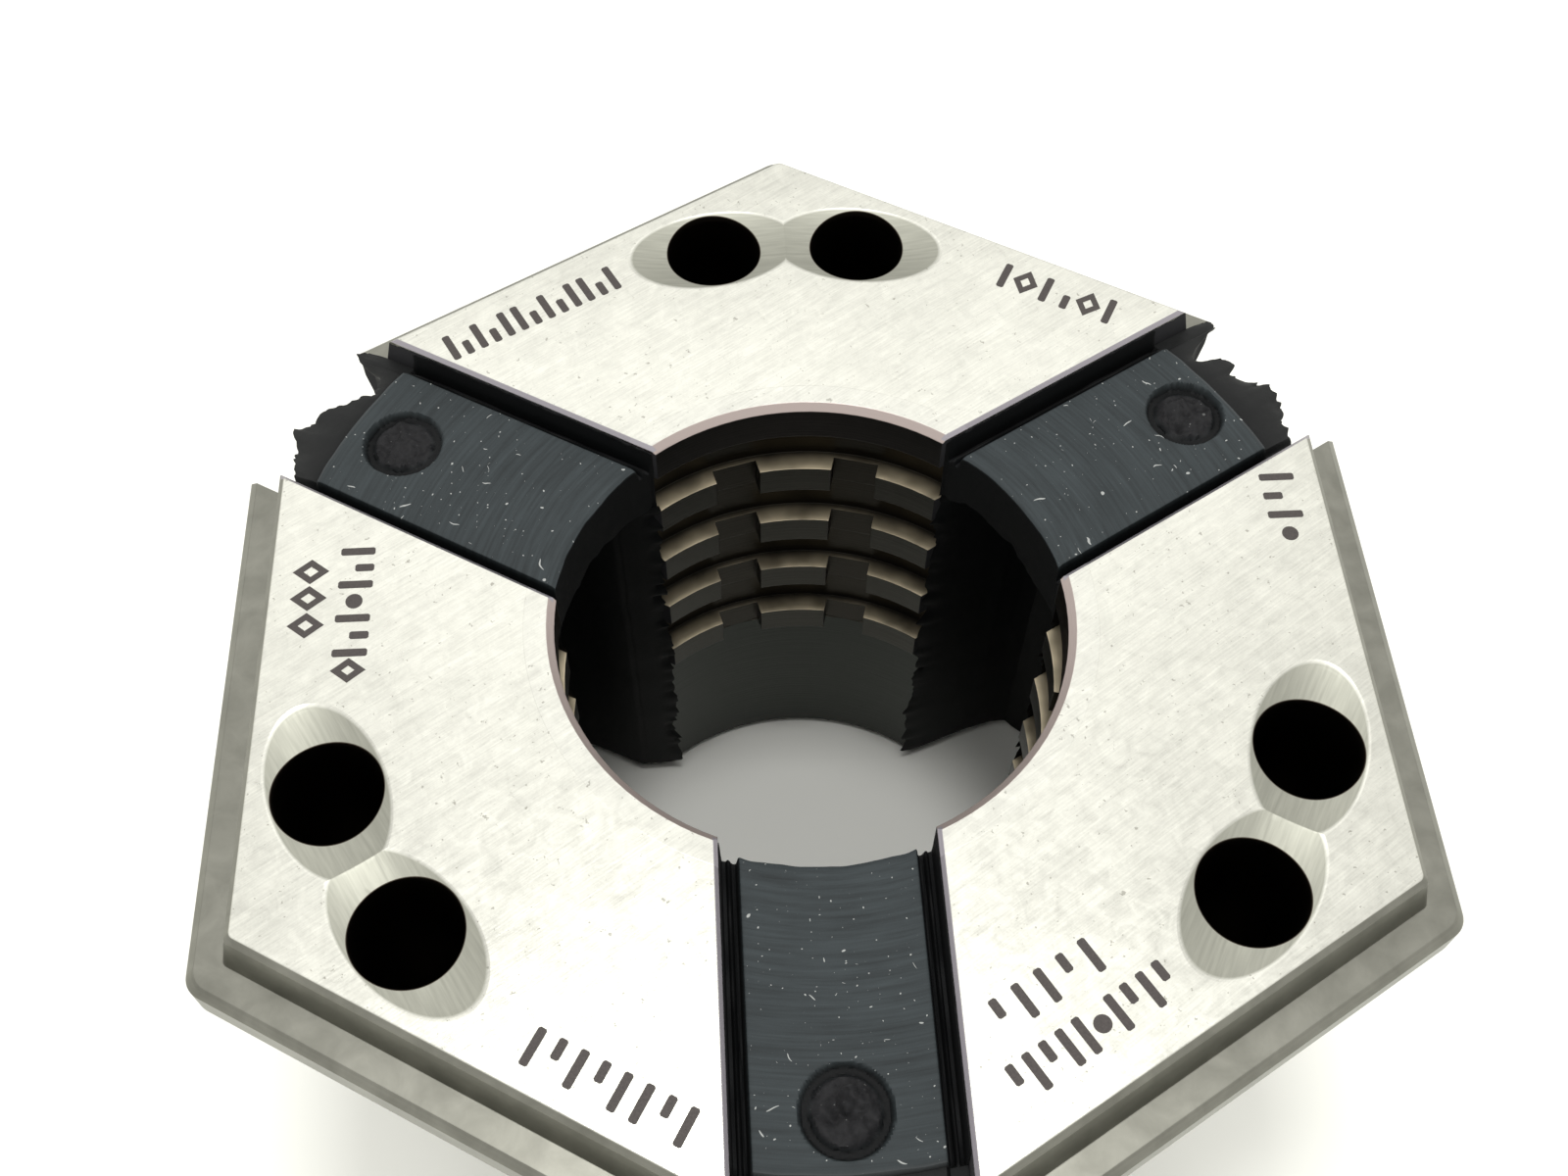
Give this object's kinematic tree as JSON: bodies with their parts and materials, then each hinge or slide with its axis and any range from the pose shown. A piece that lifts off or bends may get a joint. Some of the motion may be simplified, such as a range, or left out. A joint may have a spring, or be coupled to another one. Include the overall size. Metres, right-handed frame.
{
  "type": "clamping head",
  "caption": "Hexagonal segmented clamping head: ground steel segments joined by moulded rubber webs round a serrated bore, with change-tool holes in the face and a coupling collar.",
  "frame": {"origin": "on the bore axis in the plane of the rear face, which is the end of the coupling collar", "axes": "+Z along the bore out of the front face; +Y through the middle of clamping segment 1, so the rubber webs lie at 30, 150 and 270 degrees from +X"},
  "size_m": [0.058, 0.0639, 0.037],
  "materials": {
    "segment_steel": "fine ground, hardened, with a light oil film",
    "web_rubber": "matt, turned flush on the front"
  },
  "bodies": {
    "rubber_webs": {"rubber_web_1": "web_rubber", "rubber_web_2": "web_rubber", "rubber_web_3": "web_rubber", "bond_strip_web_1_segment_1": "web_rubber", "bond_strip_web_1_segment_3": "web_rubber", "bond_strip_web_2_segment_1": "web_rubber", "bond_strip_web_2_segment_2": "web_rubber", "bond_strip_web_3_segment_2": "web_rubber", "bond_strip_web_3_segment_3": "web_rubber"},
    "segment_1": {"clamping_segment_1": "segment_steel"},
    "segment_2": {"clamping_segment_2": "segment_steel"},
    "segment_3": {"clamping_segment_3": "segment_steel"}
  },
  "joints": [
    {"name": "segment_1_slide", "type": "slide", "parent": "rubber_webs", "child": "segment_1", "axis": [0, -1, 0], "range_m": [-0.0003, 0.0008], "stiffness_N_per_m": 200000, "deforming": ["bond_strip_web_1_segment_1", "bond_strip_web_2_segment_1"]},
    {"name": "segment_2_slide", "type": "slide", "parent": "rubber_webs", "child": "segment_2", "axis": [0.866, 0.5, 0], "range_m": [-0.0003, 0.0008], "stiffness_N_per_m": 200000, "deforming": ["bond_strip_web_2_segment_2", "bond_strip_web_3_segment_2"]},
    {"name": "segment_3_slide", "type": "slide", "parent": "rubber_webs", "child": "segment_3", "axis": [-0.866, 0.5, 0], "range_m": [-0.0003, 0.0008], "stiffness_N_per_m": 200000, "deforming": ["bond_strip_web_1_segment_3", "bond_strip_web_3_segment_3"]}
  ],
  "couplings": [
    {"joint": "segment_2_slide", "follows": "segment_1_slide", "ratio": 1},
    {"joint": "segment_3_slide", "follows": "segment_1_slide", "ratio": 1}
  ]
}
